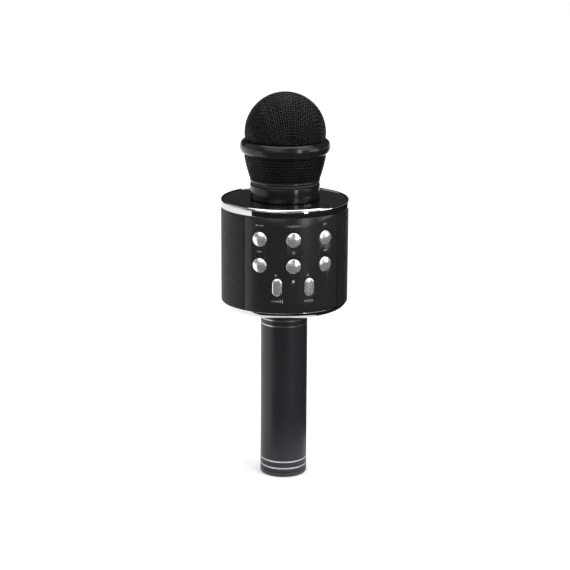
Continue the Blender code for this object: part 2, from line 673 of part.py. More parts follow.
def speakers():
    """Two small drivers: basket, cone with its dust cap, and magnet.

    Heights are along the driver's own axis, from the back of its flange.
    """
    frame = [(0.0, -0.0102), (0.0098, -0.0102), (0.0150, 0.0), (SPEAKER_RADIUS, 0.0),
             (SPEAKER_RADIUS, 0.0014), (CONE_RADIUS + GAP, 0.0014), (CONE_RADIUS + GAP, 0.0006),
             (0.0088, -0.0090), (0.0, -0.0090)]
    cone = [(0.0, -0.0037), (0.0040, -0.0049), (CONE_RADIUS, 0.0005), (CONE_RADIUS - 0.0002, 0.0009),
            (0.0038, -0.0044), (0.0, -0.0032)]
    magnet = [(0.0, -0.0155), (MAGNET_RADIUS, -0.0155), (MAGNET_RADIUS, -0.0105), (0.0, -0.0105)]
    pieces = (("speaker_frame", frame, ((0.08, 0.08, 0.08), 0.4, 0.8)),
              ("speaker_cone", cone, ((0.02, 0.02, 0.02), 0.7)),
              ("speaker_magnet", magnet, ((0.15, 0.15, 0.16), 0.4, 0.8)))
    for name, outline, finish in pieces:
        for word, side in (("left", -1), ("right", 1)):
            piece = turned("%s_%s" % (name, word), outline, finish, INNER_STEPS)
            piece.matrix_world = speaker_place(side, CHASSIS_HALF_WIDTH + GAP)


# Head ---------------------------------------------------------------------
def capsule():
    """The pick-up capsule in its soft holder, on the collar's shoulder."""
    seat = COLLAR_SHOULDER + GAP
    inner, outer = HOLDER_CUP
    holder = [(0.0, seat), (HOLDER_RADIUS, seat), (HOLDER_RADIUS, seat + HOLDER_FLANGE),
              (outer, seat + HOLDER_FLANGE), (outer, HOLDER_TOP), (inner, HOLDER_TOP), (inner, HOLDER_FLOOR),
              (0.0, HOLDER_FLOOR)]
    turned("capsule_holder", holder, ((0.03, 0.03, 0.03), 0.7), INNER_STEPS)
    bottom = HOLDER_FLOOR + GAP
    edge = 0.0008
    can = [(0.0, bottom), (CAPSULE_RADIUS, bottom), (CAPSULE_RADIUS, CAPSULE_TOP - edge),
           (CAPSULE_RADIUS - edge, CAPSULE_TOP), (0.0, CAPSULE_TOP)]
    turned("mic_capsule", can, ((0.6, 0.6, 0.6), 0.3, 1.0), INNER_STEPS)


def neck_seal_ring():
    """Rubber washer between the collar and the screwed-on grille."""
    bottom = COLLAR_TOP + GAP
    top = bottom + SEAL_THICKNESS
    radius = COLLAR_RADIUS - GAP
    outline = [(COLLAR_BORE, bottom), (radius, bottom), (radius, top), (COLLAR_BORE, top)]
    turned("neck_seal_ring", outline, ((0.015, 0.015, 0.015), 0.7))


def thread_ring():
    """The grille's foot: a flange, and the spigot that screws into the collar."""
    bottom = COLLAR_TOP - THREAD_LENGTH
    top = GRILLE_BOTTOM + FOOT_FLANGE
    outline = [(THREAD_BORE, bottom), (THREAD_RADIUS, bottom), (THREAD_RADIUS, GRILLE_BOTTOM),
               (COLLAR_RADIUS, GRILLE_BOTTOM), (COLLAR_RADIUS, top), (THREAD_BORE, top)]
    turned("thread_ring", outline, ((0.02, 0.02, 0.022), 0.35))


def lower_grille():
    bottom = GRILLE_BOTTOM + FOOT_FLANGE + GAP
    top = WAIST_BOTTOM - GAP
    narrow = COLLAR_RADIUS + 0.0001
    outside = [(narrow, bottom), LOWER_GRILLE_BEND, (LOWER_GRILLE_TOP_RADIUS, top)]
    inside = [(radius - GRILLE_WALL, height) for radius, height in outside]
    turned("lower_grille", outside + inside[::-1], ((0.015, 0.015, 0.016), 0.4, 0.6))


def waist_ring():
    """Gloss band between the two meshes, with a rounded outside."""
    middle = (WAIST_BOTTOM + WAIST_TOP) / 2
    half = (WAIST_TOP - WAIST_BOTTOM) / 2
    outside = [(WAIST_RADIUS - WAIST_BULGE + WAIST_BULGE * math.cos(a), middle + half * math.sin(a))
               for a in (math.radians(-90 + 30 * k) for k in range(7))]
    outline = [(WAIST_BORE, WAIST_BOTTOM), *outside, (WAIST_BORE, WAIST_TOP)]
    turned("waist_ring", outline, ((0.012, 0.012, 0.013), 0.15))


def dome(radius, bottom, count):
    """An arc over the ball's centre, from a height up to the axis."""
    start = math.asin((bottom - BALL_CENTRE) / radius)
    points = arc((0.0, BALL_CENTRE), radius, start, math.pi / 2, count)
    return points[:-1] + [(0.0, BALL_CENTRE + radius)]


def upper_grille():
    bottom = WAIST_TOP + GAP
    inside = dome(BALL_RADIUS - GRILLE_WALL, bottom, 8)
    turned("upper_grille", dome(BALL_RADIUS, bottom, 8)[::-1] + inside, ((0.015, 0.015, 0.016), 0.4, 0.6))


def foam_liner():
    """Foam windscreen that lines both meshes."""
    outer = BALL_RADIUS - GRILLE_WALL - FOAM_CLEARANCE
    inner = outer - FOAM_THICKNESS
    bottom = GRILLE_BOTTOM + 0.0020
    waist = WAIST_BOTTOM - 0.0004
    outside = [(FOAM_FOOT_RADIUS, bottom), (outer, waist)] + dome(outer, BALL_CENTRE, 6)
    inside = [(FOAM_FOOT_RADIUS - FOAM_THICKNESS, bottom), (inner, waist)] + dome(inner, BALL_CENTRE, 6)
    turned("foam_liner", outside[::-1] + inside, ((0.01, 0.01, 0.01), 0.95), INNER_STEPS)


def main():
    clear_scene()
    ports = port_list()
    handle_end_cap()
    handle_tube()
    battery()
    handle_core()
    leads()
    base_plate(ports)
    sockets(ports)
    frame_ring()
    base_screws()
    bottom_trim_ring()
    speaker_mesh()
    control_panel()
    buttons()
    rocker_keys()
    led_light_pipe()
    key_board()
    tact_switches()
    main_board()
    speaker_chassis()
    speakers()
    top_plate()
    top_trim_ring()
    neck_collar()
    capsule()
    neck_seal_ring()
    thread_ring()
    lower_grille()
    waist_ring()
    upper_grille()
    foam_liner()


main()
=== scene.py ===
"""Karaoke microphone: the looks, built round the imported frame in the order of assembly.

Sizes are in millimetres, and in metres in the studio section at the end."""
import math

import bmesh
import bpy
from mathutils import Matrix, Vector


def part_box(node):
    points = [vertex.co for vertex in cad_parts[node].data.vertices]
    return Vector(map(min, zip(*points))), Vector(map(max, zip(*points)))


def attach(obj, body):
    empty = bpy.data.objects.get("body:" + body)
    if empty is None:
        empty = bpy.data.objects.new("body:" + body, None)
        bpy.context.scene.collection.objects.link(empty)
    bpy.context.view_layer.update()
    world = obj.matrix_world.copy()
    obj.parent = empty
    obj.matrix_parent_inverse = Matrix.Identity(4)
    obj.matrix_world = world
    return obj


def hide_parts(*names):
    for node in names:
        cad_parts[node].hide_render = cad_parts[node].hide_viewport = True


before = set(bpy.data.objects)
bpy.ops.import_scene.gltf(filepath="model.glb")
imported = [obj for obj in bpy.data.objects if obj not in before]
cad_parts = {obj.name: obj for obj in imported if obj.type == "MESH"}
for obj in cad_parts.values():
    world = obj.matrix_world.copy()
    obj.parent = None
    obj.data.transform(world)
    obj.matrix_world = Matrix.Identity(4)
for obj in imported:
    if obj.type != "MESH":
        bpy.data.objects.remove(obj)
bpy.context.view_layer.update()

# Handle end cap --------------------------------------------------------------
# A moulded black plug that closes the tube's lower end. Its flat underside is the
# foot that the microphone stands on, and its rim is rounded. It is pressed in.
MM = 0.001
SHARP_ABOVE = math.radians(32)


def turned(points, steps):
    """Turn an outline about the axis. A point is (radius, height) and, where the
    corner is rounded, how far back the rounding starts."""
    data = bmesh.new()
    corners = [data.verts.new((point[0] * MM, 0.0, point[1] * MM)) for point in points]
    for start, end in zip(corners, corners[1:]):
        data.edges.new((start, end))
    if points[0][0] > 0.0:
        data.edges.new((corners[-1], corners[0]))
    for corner, point in zip(corners, points):
        if len(point) > 2:
            bmesh.ops.bevel(data, geom=[corner], offset=point[2] * MM, offset_type="OFFSET", segments=4,
                            profile=0.5, affect="VERTICES", material=-1)
    bmesh.ops.spin(data, geom=data.verts[:] + data.edges[:], cent=(0, 0, 0), axis=(0, 0, 1),
                   angle=math.tau, steps=steps, use_merge=True)
    return data


def placed(name, data):
    """A new object in the scene."""
    thing = bpy.data.objects.new(name, data)
    bpy.context.scene.collection.objects.link(thing)
    return thing


def made(name, data, materials, body, slot, *nodes):
    """Turn a bmesh into a finished piece that stands for CAD nodes and rides on a body."""
    bmesh.ops.remove_doubles(data, verts=data.verts, dist=1e-7)
    bmesh.ops.recalc_face_normals(data, faces=data.faces)
    mesh = bpy.data.meshes.new(name)
    data.to_mesh(mesh)
    data.free()
    mesh.shade_smooth()
    mesh.set_sharp_from_angle(angle=SHARP_ABOVE)
    for material in materials:
        mesh.materials.append(material)
    piece = placed(name, mesh)
    if nodes:
        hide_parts(*nodes)
    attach(piece, body)
    return piece


def extent(node):
    """How low and how high a CAD node reaches, and its outer radius, in millimetres."""
    low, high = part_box(node)
    return low.z / MM, high.z / MM, high.x / MM


def node_group(name, inputs, outputs):
    """An empty shader group with named sockets: (label, kind) pairs."""
    tree = bpy.data.node_groups.new(name, "ShaderNodeTree")
    for label, kind in inputs:
        tree.interface.new_socket(label, in_out="INPUT", socket_type="NodeSocket" + kind)
    for label, kind in outputs:
        tree.interface.new_socket(label, in_out="OUTPUT", socket_type="NodeSocket" + kind)
    return tree, tree.nodes.new("NodeGroupInput"), tree.nodes.new("NodeGroupOutput")


def surface_group():
    """Grain, patches of handling, and edges rubbed to another colour."""
    tree, given, result = node_group(
        "worn_surface",
        (("Vector", "Vector"), ("Colour", "Color"), ("Rubbed Colour", "Color"), ("Rubbed", "Float"),
         ("Grain", "Float"), ("Patches", "Float"), ("Smooth", "Float"), ("Rough", "Float")),
        (("Colour", "Color"), ("Roughness", "Float"), ("Height", "Float")))
    grain = tree.nodes.new("ShaderNodeTexNoise")
    grain.inputs["Detail"].default_value = 3.0
    patches = tree.nodes.new("ShaderNodeTexNoise")
    patches.inputs["Detail"].default_value = 5.0
    patches.inputs["Roughness"].default_value = 0.65
    geometry = tree.nodes.new("ShaderNodeNewGeometry")
    edges = tree.nodes.new("ShaderNodeMapRange")
    edges.inputs["From Min"].default_value = 0.53
    edges.inputs["From Max"].default_value = 0.62
    broken = tree.nodes.new("ShaderNodeMath")
    broken.operation = "MULTIPLY"
    amount = tree.nodes.new("ShaderNodeMath")
    amount.operation = "MULTIPLY"
    handled = tree.nodes.new("ShaderNodeMapRange")
    handled.inputs["From Min"].default_value = 0.35
    handled.inputs["From Max"].default_value = 0.68
    shade = tree.nodes.new("ShaderNodeMix")
    shade.data_type = "RGBA"
    link = tree.links.new
    for texture, label in ((grain, "Grain"), (patches, "Patches")):
        link(given.outputs["Vector"], texture.inputs["Vector"])
        link(given.outputs[label], texture.inputs["Scale"])
    link(geometry.outputs["Pointiness"], edges.inputs["Value"])
    link(edges.outputs["Result"], broken.inputs[0])
    link(patches.outputs["Fac"], broken.inputs[1])
    link(broken.outputs["Value"], amount.inputs[0])
    link(given.outputs["Rubbed"], amount.inputs[1])
    link(patches.outputs["Fac"], handled.inputs["Value"])
    link(given.outputs["Smooth"], handled.inputs["To Min"])
    link(given.outputs["Rough"], handled.inputs["To Max"])
    link(amount.outputs["Value"], shade.inputs["Factor"])
    link(given.outputs["Colour"], shade.inputs["A"])
    link(given.outputs["Rubbed Colour"], shade.inputs["B"])
    link(shade.outputs["Result"], result.inputs["Colour"])
    link(handled.outputs["Result"], result.inputs["Roughness"])
    link(grain.outputs["Fac"], result.inputs["Height"])
    return tree


WORN_SURFACE = surface_group()


def finish(name, colour, rough, metallic=0.0, grain=900.0, depth=0.006, patches=45.0, rubbed=None,
           sockets=None):
    """A Principled material whose roughness and bump come from the surface group.

    rough is its range between handled and untouched patches, grain and patches are
    per metre, depth is the grain's in millimetres, and sockets holds the shader's
    other plain values. With rubbed, (colour, amount), the group also varies the colour."""
    material = bpy.data.materials.new(name)
    material.use_nodes = True
    tree = material.node_tree
    shader = tree.nodes["Principled BSDF"]
    shader.inputs["Base Color"].default_value = (*colour, 1.0)
    shader.inputs["Metallic"].default_value = metallic
    for label, value in (sockets or {}).items():
        shader.inputs[label].default_value = value
    place = tree.nodes.new("ShaderNodeTexCoord")
    surface = tree.nodes.new("ShaderNodeGroup")
    surface.node_tree = WORN_SURFACE
    if rubbed:
        surface.inputs["Colour"].default_value = (*colour, 1.0)
        surface.inputs["Rubbed Colour"].default_value = (*rubbed[0], 1.0)
        surface.inputs["Rubbed"].default_value = rubbed[1]
        tree.links.new(surface.outputs["Colour"], shader.inputs["Base Color"])
    surface.inputs["Grain"].default_value = grain
    surface.inputs["Patches"].default_value = patches
    surface.inputs["Smooth"].default_value = rough[0]
    surface.inputs["Rough"].default_value = rough[1]
    bump = tree.nodes.new("ShaderNodeBump")
    bump.name = "bump"
    bump.inputs["Distance"].default_value = depth * MM
    tree.links.new(place.outputs["Object"], surface.inputs["Vector"])
    tree.links.new(surface.outputs["Roughness"], shader.inputs["Roughness"])
    tree.links.new(surface.outputs["Height"], bump.inputs["Height"])
    tree.links.new(bump.outputs["Normal"], shader.inputs["Normal"])
    return material


cap_plastic = finish("cap_plastic", (0.018, 0.018, 0.02), (0.38, 0.5), grain=2600.0, depth=0.01,
                     rubbed=((0.06, 0.06, 0.062), 0.5))
GAP = 0.3
PLUG_STEP = 1.5
FOOT_RECESS = 0.25
RECESS_RADIUS = 9.6
RECESS_RIM = 9.8
CAP_ROUNDING = 1.1
plug_top, handle_radius = extent("handle_end_cap")[1:]
plug_radius = handle_radius - PLUG_STEP
cap_seam = extent("handle_tube")[0] - GAP
end_outline = [(0.0, FOOT_RECESS), (RECESS_RADIUS, FOOT_RECESS, 0.1), (RECESS_RIM, 0.0, 0.1),
               (handle_radius, 0.0, CAP_ROUNDING), (handle_radius, cap_seam, 0.12),
               (plug_radius, cap_seam), (plug_radius, plug_top, 0.4), (0.0, plug_top)]
made("end_cap", turned(end_outline, steps=96), [cap_plastic], "body", "black_plastic", "handle_end_cap")

# Handle tube -----------------------------------------------------------------
# Drawn aluminium tube, blasted and anodised charcoal. Two pairs of shallow bands
# are turned through the anodising near its ends, and show bright bare metal.
TUBE_WALL = 1.2
BANDS = (5.7, 10.0, 99.4, 103.1)
BAND_WIDTH = 0.9
BAND_DEPTH = 0.16
BAND_SLOPE = 0.12
TUBE_END = 1.0
tube_bottom, tube_top = extent("handle_tube")[:2]
tube_bore = handle_radius - TUBE_WALL


def turned_lines(material, per_metre, depth):
    """Fine lines round the axis, as a lathe leaves, in place of the surface grain."""
    tree = material.node_tree
    place = tree.nodes.new("ShaderNodeTexCoord")
    split = tree.nodes.new("ShaderNodeSeparateXYZ")
    lines = tree.nodes.new("ShaderNodeTexNoise")
    lines.noise_dimensions = "1D"
    lines.inputs["Scale"].default_value = per_metre
    lines.inputs["Detail"].default_value = 2.0
    bump = tree.nodes["bump"]
    bump.inputs["Distance"].default_value = depth * MM
    tree.links.new(place.outputs["Object"], split.inputs["Vector"])
    tree.links.new(split.outputs["Z"], lines.inputs["W"])
    tree.links.new(lines.outputs["Fac"], bump.inputs["Height"])


anodised = finish("charcoal_anodising", (0.032, 0.0315, 0.038), (0.36, 0.46), metallic=0.7, grain=5200.0,
                  depth=0.006, patches=30.0, rubbed=((0.2, 0.2, 0.21), 0.2))
bare_aluminium = finish("turned_bare_aluminium", (0.5, 0.5, 0.51), (0.26, 0.36), metallic=1.0)
turned_lines(bare_aluminium, 9000.0, 0.004)
tube_outline = [(tube_bore, tube_bottom), (handle_radius, tube_bottom, 0.12)]
for height in BANDS:
    half = BAND_WIDTH / 2
    floor_half = half - BAND_SLOPE
    tube_outline += [(handle_radius, height - half), (handle_radius - BAND_DEPTH, height - floor_half),
                     (handle_radius - BAND_DEPTH, height + floor_half), (handle_radius, height + half)]
tube_outline += [(handle_radius, tube_top), (tube_bore, tube_top)]
tube = turned(tube_outline, steps=128)
for face in tube.faces:
    middle = face.calc_center_median() / MM
    if tube_bottom + TUBE_END < middle.z < tube_top - TUBE_END:
        face.material_index = int(tube_bore + BAND_DEPTH < middle.xy.length < handle_radius - BAND_DEPTH / 4)
made("handle_sleeve", tube, [anodised, bare_aluminium], "body", "anodised_tube", "handle_tube")

# Inside the handle -----------------------------------------------------------
# A shrink-wrapped lithium cell slides into a natural plastic sleeve, with its
# protection board soldered on top and a red lead up to the main board.
natural_plastic = finish("natural_plastic", (0.62, 0.6, 0.55), (0.4, 0.55),
                         sockets={"Subsurface Weight": 0.1})
cell_wrap = finish("blue_shrink_wrap", (0.03, 0.16, 0.42), (0.22, 0.4), grain=300.0, depth=0.03)
lead_red = finish("red_insulation", (0.45, 0.02, 0.02), (0.4, 0.5))
lead_grey = finish("grey_insulation", (0.12, 0.12, 0.125), (0.4, 0.5))
core_plastic = finish("glass_filled_plastic", (0.03, 0.03, 0.032), (0.45, 0.6), grain=1500.0, depth=0.02)


def paint(material, *nodes):
    """Give CAD nodes that stay in view their finish."""
    for name in nodes:
        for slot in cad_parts[name].material_slots:
            slot.material = material


def circuit_board(name, mask, copper):
    """Solder mask over copper tracks, which a grid of cells laid out at random suggests."""
    material = finish(name, mask, (0.25, 0.38), grain=1200.0)
    tree = material.node_tree
    place = tree.nodes.new("ShaderNodeTexCoord")
    cells = tree.nodes.new("ShaderNodeTexVoronoi")
    cells.distance = "CHEBYCHEV"
    cells.feature = "F1"
    cells.inputs["Scale"].default_value = 420.0
    cells.inputs["Randomness"].default_value = 0.55
    tracks = tree.nodes.new("ShaderNodeMapRange")
    tracks.inputs["From Min"].default_value = 0.36
    tracks.inputs["From Max"].default_value = 0.40
    shade = tree.nodes.new("ShaderNodeMix")
    shade.data_type = "RGBA"
    shade.inputs["A"].default_value = (*mask, 1.0)
    shade.inputs["B"].default_value = (*copper, 1.0)
    tree.links.new(place.outputs["Object"], cells.inputs["Vector"])
    tree.links.new(cells.outputs["Distance"], tracks.inputs["Value"])
    tree.links.new(tracks.outputs["Result"], shade.inputs["Factor"])
    tree.links.new(shade.outputs["Result"], tree.nodes["Principled BSDF"].inputs["Base Color"])
    tree.links.new(tracks.outputs["Result"], tree.nodes["bump"].inputs["Height"])
    tree.nodes["bump"].inputs["Distance"].default_value = 0.03 * MM
    return material


green_board = circuit_board("green_board", (0.01, 0.13, 0.05), (0.05, 0.28, 0.1))
paint(natural_plastic, "battery_sleeve")
paint(cell_wrap, "battery_cell")
paint(green_board, "battery_board", "main_board", "key_board")
paint(lead_red, "battery_lead")
paint(lead_grey, "capsule_lead")
paint(core_plastic, "handle_core", "lower_frame_ring", "speaker_chassis")

# Base plate, sockets and screws ----------------------------------------------
# A moulded plate closes the drum round the handle. Four black screws hold it, and
# the plated sockets on the main board come out flush in its cut-outs.
plate_plastic = finish("base_plate_plastic", (0.02, 0.02, 0.022), (0.36, 0.5), grain=2400.0, depth=0.012,
                       rubbed=((0.05, 0.05, 0.052), 0.4))
socket_metal = finish("plated_socket_steel", (0.62, 0.6, 0.57), (0.2, 0.35), metallic=1.0)
jack_plastic = finish("jack_plastic", (0.03, 0.03, 0.03), (0.35, 0.5))
screw_black = finish("black_oxide_screw", (0.09, 0.09, 0.095), (0.28, 0.42), metallic=1.0,
                     rubbed=((0.35, 0.35, 0.36), 0.6))
paint(plate_plastic, "base_plate")
paint(socket_metal, "usb_socket", "card_slot", "charge_port")
paint(jack_plastic, "aux_jack")
HEAD_HEIGHT = 0.9
CROSS_REACH = 0.55
CROSS_HALF_WIDTH = 0.16
CROSS_DEPTH = 0.55


def shift(data, geometry, x, y, z):
    """Move the vertices among some bmesh geometry."""
    corners = [item for item in geometry if isinstance(item, bmesh.types.BMVert)]
    bmesh.ops.translate(data, verts=corners, vec=(x * MM, y * MM, z * MM))


def cut_cross(data, disc, reach, half):
    """Divide a flat disc by the lines of a cross, and sink the cross."""
    height = disc.calc_center_median().z
    for normal in (Vector((1, 0, 0)), Vector((0, 1, 0))):
        for level in (half, -half, reach, -reach):
            faces = [face for face in data.faces if abs(face.calc_center_median().z - height) < 1e-6]
            edges = dict.fromkeys(edge for face in faces for edge in face.edges)
            verts = dict.fromkeys(vert for face in faces for vert in face.verts)
            bmesh.ops.bisect_plane(data, geom=[*faces, *edges, *verts], plane_co=normal * level * MM,
                                   plane_no=normal)
    cross = []
    for face in data.faces:
        middle = face.calc_center_median() / MM
        across, along = sorted((abs(middle.x), abs(middle.y)))
        if abs(middle.z - height / MM) < 1e-3 and across < half and along < reach:
            cross.append(face)
    sunk = bmesh.ops.extrude_face_region(data, geom=cross)["geom"]
    shift(data, sunk, 0, 0, CROSS_DEPTH)
    bmesh.ops.delete(data, geom=cross, context="FACES")


def cross_head_screw(name, node):
    """Pan head on a plain shank. Its cross is sized by the head's radius."""
    low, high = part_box(node)
    head = (high.x - low.x) / 2 / MM
    bottom = low.z / MM
    top = high.z / MM
    data = turned([(0.0, bottom), (head, bottom, 0.35), (head, bottom + HEAD_HEIGHT),
                   (head / 2, bottom + HEAD_HEIGHT), (head / 2, top, 0.3), (0.0, top)], steps=32)
    underside = [face for face in data.faces if abs(face.calc_center_median().z / MM - bottom) < 0.01]
    bmesh.ops.dissolve_faces(data, faces=underside)
    disc = min(data.faces, key=lambda face: face.calc_center_median().z)
    cut_cross(data, disc, head * CROSS_REACH, head * CROSS_HALF_WIDTH)
    middle = (low + high) / 2
    bmesh.ops.translate(data, verts=data.verts, vec=(middle.x, middle.y, 0.0))
    made(name, data, [screw_black], "body", "screw_steel", node)


for number in range(1, 5):
    cross_head_screw("cross_head_screw_%d" % number, "base_screw_%d" % number)

# Lower trim ring -------------------------------------------------------------
# A plated plastic hoop round the drum's lower edge, curved in underneath. It clips
# over the base plate and covers the ends of the wrap and the panel.
plating = finish("bright_plating", (0.56, 0.56, 0.575), (0.05, 0.10), metallic=1.0, grain=300.0, depth=0.0015,
                 patches=35.0)
ring_low, ring_high, hoop_radius = extent("bottom_trim_ring")
CURVE_POINTS = 12
STEEP = math.radians(15)
SHALLOW = math.radians(70)
hoop_bore = extent("base_plate")[2] + GAP
curve = (hoop_radius - hoop_bore) / (math.cos(STEEP) - math.cos(SHALLOW))
lower_ring = [(hoop_bore, ring_high)]
for step in range(CURVE_POINTS + 1):
    tilt = SHALLOW + (STEEP - SHALLOW) * step / CURVE_POINTS
    lower_ring.append((hoop_radius - curve * (math.cos(STEEP) - math.cos(tilt)),
                       ring_low + curve * (math.sin(SHALLOW) - math.sin(tilt))))
lower_ring.append((hoop_radius, ring_high, 0.1))
made("lower_trim_ring", turned(lower_ring, steps=192), [plating], "body", "chrome_trim", "bottom_trim_ring")

# Speakers --------------------------------------------------------------------
# Two small drivers screwed to the chassis sides: pressed steel baskets, black
# paper cones with a doped surround, and magnets with steel yokes.
basket_steel = finish("basket_steel", (0.06, 0.06, 0.065), (0.35, 0.5), metallic=0.6)
cone_paper = finish("cone_paper", (0.02, 0.02, 0.021), (0.75, 0.9), grain=2200.0, depth=0.05)
magnet_steel = finish("magnet_steel", (0.34, 0.34, 0.35), (0.3, 0.45), metallic=1.0)
for side in ("left", "right"):
    paint(basket_steel, "speaker_frame_" + side)
    paint(cone_paper, "speaker_cone_" + side)
    paint(magnet_steel, "speaker_magnet_" + side)

# Speaker wrap ----------------------------------------------------------------
# One strip of perforated steel, powder coated black and rolled round the drum
# from one edge of the control panel to the other, behind the two trim rings.
CELL = 1.8
HOLE_SHARE = 0.28
WRAP_THICKNESS = 0.6
PANEL_HALF_ANGLE = math.radians(45.9)
SEAM_ANGLE = math.radians(0.5)
wrap_finish = finish("powder_coated_steel", (0.0085, 0.009, 0.011), (0.38, 0.5), metallic=0.3, grain=2500.0,
                     depth=0.01, rubbed=((0.2, 0.2, 0.21), 0.15), sockets={"Specular IOR Level": 0.3})
wall_low, wall_high, drum_radius = extent("speaker_mesh")


def rolled(data, radius):
    """Roll a flat sheet onto the drum: X runs round it, Y up it, and Z out from it."""
    for vert in data.verts:
        angle = vert.co.x / radius
        reach = radius + vert.co.z
        vert.co = (reach * math.sin(angle), -reach * math.cos(angle), vert.co.y)


def repeated(data, count, x, y):
    """Copy everything in a flat bmesh along a step, and merge what meets."""
    first = data.verts[:] + data.edges[:] + data.faces[:]
    for index in range(1, count):
        copy = bmesh.ops.duplicate(data, geom=first)["geom"]
        shift(data, copy, x * index, y * index, 0)
    bmesh.ops.remove_doubles(data, verts=data.verts, dist=0.01 * MM)


def perforated_strip(width, bottom, top):
    """Hexagonal cells, each with a hole, trimmed straight on all four sides. Hole sizes are
    shares of a cell."""
    data = bmesh.new()
    side = CELL / math.sqrt(3) * MM
    ring = bmesh.ops.create_circle(data, cap_ends=True, segments=6, radius=side)["verts"]
    bmesh.ops.rotate(data, verts=ring, cent=(0, 0, 0), matrix=Matrix.Rotation(math.pi / 6, 3, "Z"))
    hole = bmesh.ops.inset_region(data, faces=data.faces[:], thickness=CELL * (0.5 - HOLE_SHARE) * MM,
                                  use_boundary=True)
    centre = [face for face in data.faces if face not in hole["faces"]]
    bmesh.ops.delete(data, geom=centre, context="FACES_ONLY")
    columns = int(width / CELL) + 2
    row_height = CELL * math.sqrt(3) / 2
    rows = int((top - bottom) / row_height) + 3
    repeated(data, 2, CELL / 2, row_height)
    repeated(data, columns, CELL, 0)
    repeated(data, (rows + 1) // 2, 0, 2 * row_height)
    shift(data, data.verts, -CELL, bottom - row_height, 0)
    for normal, level in (((0, 1, 0), top), ((0, -1, 0), -bottom), ((1, 0, 0), width), ((-1, 0, 0), 0.0)):
        plane = Vector(normal)
        bmesh.ops.bisect_plane(data, geom=data.verts[:] + data.edges[:] + data.faces[:], dist=0.001 * MM,
                               plane_co=plane * level * MM, plane_no=plane, clear_outer=True)
    bmesh.ops.recalc_face_normals(data, faces=data.faces)
    if data.faces[:][0].normal.z < 0:
        bmesh.ops.reverse_faces(data, faces=data.faces)
    bmesh.ops.solidify(data, geom=data.faces[:], thickness=WRAP_THICKNESS * MM)
    top_level = max(vert.co.z for vert in data.verts)
    bmesh.ops.translate(data, verts=data.verts, vec=(0, 0, -top_level))
    return data


wrap_start = PANEL_HALF_ANGLE + SEAM_ANGLE
wrap = perforated_strip((math.tau - 2 * wrap_start) * drum_radius, wall_low, wall_high)
shift(wrap, wrap.verts, wrap_start * drum_radius, 0, 0)
rolled(wrap, drum_radius * MM)
made("perforated_wrap", wrap, [wrap_finish], "body", "speaker_steel_mesh", "speaker_mesh")

# Dust cloth ------------------------------------------------------------------
# Thin black cloth glued inside the wrap. It lets the sound out, keeps dust off the
# drivers, and hides what is inside.
CLOTH_THICKNESS = 0.15
CLOTH_GAP = 0.35
cloth_finish = finish("dust_cloth", (0.006, 0.006, 0.0065), (0.9, 1.0), grain=5000.0, depth=0.05,
                      sockets={"Specular IOR Level": 0.1})
cloth = bmesh.new()
cloth_radius = drum_radius - WRAP_THICKNESS - CLOTH_GAP
cloth_wall = [cloth.verts.new((radius * MM, 0.0, height * MM))
              for radius, height in ((cloth_radius, wall_low), (cloth_radius, wall_high),
                                     (cloth_radius - CLOTH_THICKNESS, wall_high),
                                     (cloth_radius - CLOTH_THICKNESS, wall_low))]
cloth_end = cloth.faces.new(cloth_wall)
bmesh.ops.rotate(cloth, verts=cloth.verts, cent=(0, 0, 0),
                 matrix=Matrix.Rotation(wrap_start - math.pi / 2, 3, "Z"))
bmesh.ops.spin(cloth, geom=cloth_wall + list(cloth_end.edges) + [cloth_end], cent=(0, 0, 0), axis=(0, 0, 1),
               angle=math.tau - 2 * wrap_start, steps=90)
made("cloth_behind_wrap", cloth, [cloth_finish], "body", "black_foam")

# Control panel ---------------------------------------------------------------
# A curved moulding in satin black, with a hole for each button, a slot for each key
# and two small holes. It is made flat, in columns narrow enough to roll smoothly, and
# its edges are eased by (inset, rise) steps.
BUTTON_HOLE = 4.8
KEY_SLOT = (6.7, 12.0)
LAMP_HOLE = 1.15
PINHOLE = 0.45
PINHOLE_BELOW_LAMP = 5.9
PANEL_THICKNESS = 2.0
PANEL_EDGE = ((0.06, 0.1), (0.1, 0.06))
PANEL_COLUMN = 0.7
panel_finish = finish("satin_black_panel", (0.011, 0.011, 0.0125), (0.24, 0.34), grain=1900.0, depth=0.004,
                      patches=60.0, rubbed=((0.06, 0.06, 0.062), 0.4), sockets={"Specular IOR Level": 0.35})


def round_hole(data, x, y, radius, segments=40):
    """A closed ring of edges."""
    ring = bmesh.ops.create_circle(data, cap_ends=False, segments=segments, radius=radius * MM)["verts"]
    shift(data, ring, x, y, 0)


def stadium_points(width, length, steps=14):
    """Round-ended slot, upright: points in order."""
    radius = width / 2
    reach = (length - width) / 2
    upper = [(radius * math.cos(math.pi * k / steps), reach + radius * math.sin(math.pi * k / steps))
             for k in range(steps + 1)]
    return upper + [(-x, -y) for x, y in upper]


def closed_line(data, points, x=0.0, y=0.0):
    """A closed run of edges through (x, y) points."""
    verts = [data.verts.new(((x + px) * MM, (y + py) * MM, 0.0)) for px, py in points]
    for start, end in zip(verts, verts[1:] + verts[:1]):
        data.edges.new((start, end))


def node_angle(node):
    """The angle round the drum at which a CAD node sits, from the panel's middle."""
    low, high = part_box(node)
    middle = (low + high) / 2
    return math.atan2(middle.x, -middle.y)


def node_height(node):
    """The height of a CAD node's middle."""
    low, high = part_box(node)
    return (low.z + high.z) / 2 / MM


